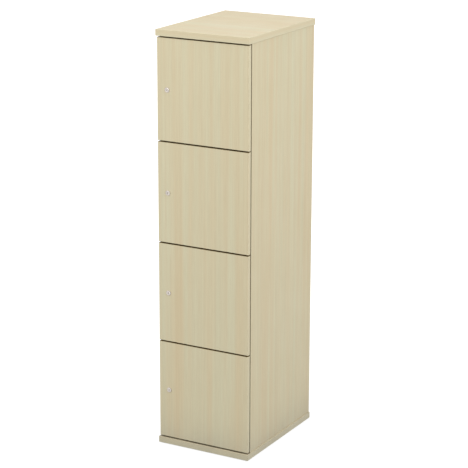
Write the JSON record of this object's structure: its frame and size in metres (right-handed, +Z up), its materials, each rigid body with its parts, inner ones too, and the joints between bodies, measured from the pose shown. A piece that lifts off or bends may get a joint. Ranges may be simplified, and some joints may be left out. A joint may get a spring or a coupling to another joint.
{
  "type": "coin operated locker",
  "caption": "Tall wooden locker column with stacked compartments, each closed by an overlay door on concealed hinges with a coin return lock.",
  "frame": {"origin": "on the floor under the middle of the column", "axes": "+Z up, doors face -Y, hinges on the +X side"},
  "size_m": [0.4, 0.525, 1.65],
  "materials": {
    "melamine_upright": "satin maple melamine on chipboard, grain upright",
    "melamine_level": "satin maple melamine on chipboard, grain across the width",
    "back_board": "satin maple melamine on thin board",
    "edging": "ABS edging strip, maple colour",
    "beech": "pressed beech",
    "glide_plastic": "moulded nylon",
    "nickel": "nickel plated pressed steel",
    "zinc": "nickel plated die-cast zinc",
    "steel": "zinc plated steel",
    "lock_metal": "turned and satin chromed",
    "case_plastic": "fine grained moulded plastic"
  },
  "bodies": {
    "carcass": {"top_panel": "melamine_level", "base_panel": "melamine_level", "side_panel_left": "melamine_upright", "side_panel_right": "melamine_upright", "back_panel": "back_board", "divider_upper": "melamine_level", "divider_middle": "melamine_level", "divider_lower": "melamine_level", "edge_banding": "edging", "glides": "glide_plastic", "biscuits": "beech", "hinge_plates": "zinc", "hinge_arms": "nickel", "strike_plates": "steel"},
    "door_1": {"door_1_panel": "melamine_upright", "door_1_edging": "edging", "door_1_hinge_cups": "zinc", "door_1_lock_barrel": "lock_metal", "door_1_lock_case": "case_plastic"},
    "door_1_inner": {"door_1_inner_links": "nickel"},
    "door_1_outer": {"door_1_outer_links": "nickel"},
    "door_1_lock": {"door_1_lock_plug": "lock_metal", "door_1_lock_tongue": "steel"},
    "door_2": {"door_2_panel": "melamine_upright", "door_2_edging": "edging", "door_2_hinge_cups": "zinc", "door_2_lock_barrel": "lock_metal", "door_2_lock_case": "case_plastic"},
    "door_2_inner": {"door_2_inner_links": "nickel"},
    "door_2_outer": {"door_2_outer_links": "nickel"},
    "door_2_lock": {"door_2_lock_plug": "lock_metal", "door_2_lock_tongue": "steel"},
    "door_3": {"door_3_panel": "melamine_upright", "door_3_edging": "edging", "door_3_hinge_cups": "zinc", "door_3_lock_barrel": "lock_metal", "door_3_lock_case": "case_plastic"},
    "door_3_inner": {"door_3_inner_links": "nickel"},
    "door_3_outer": {"door_3_outer_links": "nickel"},
    "door_3_lock": {"door_3_lock_plug": "lock_metal", "door_3_lock_tongue": "steel"},
    "door_4": {"door_4_panel": "melamine_upright", "door_4_edging": "edging", "door_4_hinge_cups": "zinc", "door_4_lock_barrel": "lock_metal", "door_4_lock_case": "case_plastic"},
    "door_4_inner": {"door_4_inner_links": "nickel"},
    "door_4_outer": {"door_4_outer_links": "nickel"},
    "door_4_lock": {"door_4_lock_plug": "lock_metal", "door_4_lock_tongue": "steel"}
  },
  "joints": [
    {"name": "door_1_inner_link_pivot", "type": "hinge", "parent": "carcass", "child": "door_1_inner", "pos_m": [0.1698, -0.2466, 1.42362], "axis": [0, 0, 1], "range_deg": [-57, 0]},
    {"name": "door_1_outer_link_pivot", "type": "hinge", "parent": "carcass", "child": "door_1_outer", "pos_m": [0.151, -0.2374, 1.42362], "axis": [0, 0, 1], "range_deg": [-34.5, 0]},
    {"name": "door_1_hinge", "type": "hinge", "parent": "door_1_inner", "child": "door_1", "pos_m": [0.184, -0.2451, 1.42362], "axis": [0, 0, 1], "range_deg": [0, 150.9]},
    {"name": "door_1_lock_turn", "type": "hinge", "parent": "door_1", "child": "door_1_lock", "pos_m": [-0.153, -0.235, 1.42362], "axis": [0, 1, 0], "range_deg": [0, 90]},
    {"name": "door_2_inner_link_pivot", "type": "hinge", "parent": "carcass", "child": "door_2_inner", "pos_m": [0.1698, -0.2466, 1.02588], "axis": [0, 0, 1], "range_deg": [-57, 0]},
    {"name": "door_2_outer_link_pivot", "type": "hinge", "parent": "carcass", "child": "door_2_outer", "pos_m": [0.151, -0.2374, 1.02588], "axis": [0, 0, 1], "range_deg": [-34.5, 0]},
    {"name": "door_2_hinge", "type": "hinge", "parent": "door_2_inner", "child": "door_2", "pos_m": [0.184, -0.2451, 1.02588], "axis": [0, 0, 1], "range_deg": [0, 150.9]},
    {"name": "door_2_lock_turn", "type": "hinge", "parent": "door_2", "child": "door_2_lock", "pos_m": [-0.153, -0.235, 1.02588], "axis": [0, 1, 0], "range_deg": [0, 90]},
    {"name": "door_3_inner_link_pivot", "type": "hinge", "parent": "carcass", "child": "door_3_inner", "pos_m": [0.1698, -0.2466, 0.62813], "axis": [0, 0, 1], "range_deg": [-57, 0]},
    {"name": "door_3_outer_link_pivot", "type": "hinge", "parent": "carcass", "child": "door_3_outer", "pos_m": [0.151, -0.2374, 0.62813], "axis": [0, 0, 1], "range_deg": [-34.5, 0]},
    {"name": "door_3_hinge", "type": "hinge", "parent": "door_3_inner", "child": "door_3", "pos_m": [0.184, -0.2451, 0.62813], "axis": [0, 0, 1], "range_deg": [0, 150.9]},
    {"name": "door_3_lock_turn", "type": "hinge", "parent": "door_3", "child": "door_3_lock", "pos_m": [-0.153, -0.235, 0.62813], "axis": [0, 1, 0], "range_deg": [0, 90]},
    {"name": "door_4_inner_link_pivot", "type": "hinge", "parent": "carcass", "child": "door_4_inner", "pos_m": [0.1698, -0.2466, 0.23037], "axis": [0, 0, 1], "range_deg": [-57, 0]},
    {"name": "door_4_outer_link_pivot", "type": "hinge", "parent": "carcass", "child": "door_4_outer", "pos_m": [0.151, -0.2374, 0.23037], "axis": [0, 0, 1], "range_deg": [-34.5, 0]},
    {"name": "door_4_hinge", "type": "hinge", "parent": "door_4_inner", "child": "door_4", "pos_m": [0.184, -0.2451, 0.23037], "axis": [0, 0, 1], "range_deg": [0, 150.9]},
    {"name": "door_4_lock_turn", "type": "hinge", "parent": "door_4", "child": "door_4_lock", "pos_m": [-0.153, -0.235, 0.23037], "axis": [0, 1, 0], "range_deg": [0, 90]}
  ],
  "couplings": [
    {"joint": "door_1_inner_link_pivot", "follows": "door_1_hinge", "ratio": -0.3707},
    {"joint": "door_1_outer_link_pivot", "follows": "door_1_hinge", "ratio": -0.2215},
    {"joint": "door_2_inner_link_pivot", "follows": "door_2_hinge", "ratio": -0.3707},
    {"joint": "door_2_outer_link_pivot", "follows": "door_2_hinge", "ratio": -0.2215},
    {"joint": "door_3_inner_link_pivot", "follows": "door_3_hinge", "ratio": -0.3707},
    {"joint": "door_3_outer_link_pivot", "follows": "door_3_hinge", "ratio": -0.2215},
    {"joint": "door_4_inner_link_pivot", "follows": "door_4_hinge", "ratio": -0.3707},
    {"joint": "door_4_outer_link_pivot", "follows": "door_4_hinge", "ratio": -0.2215}
  ]
}
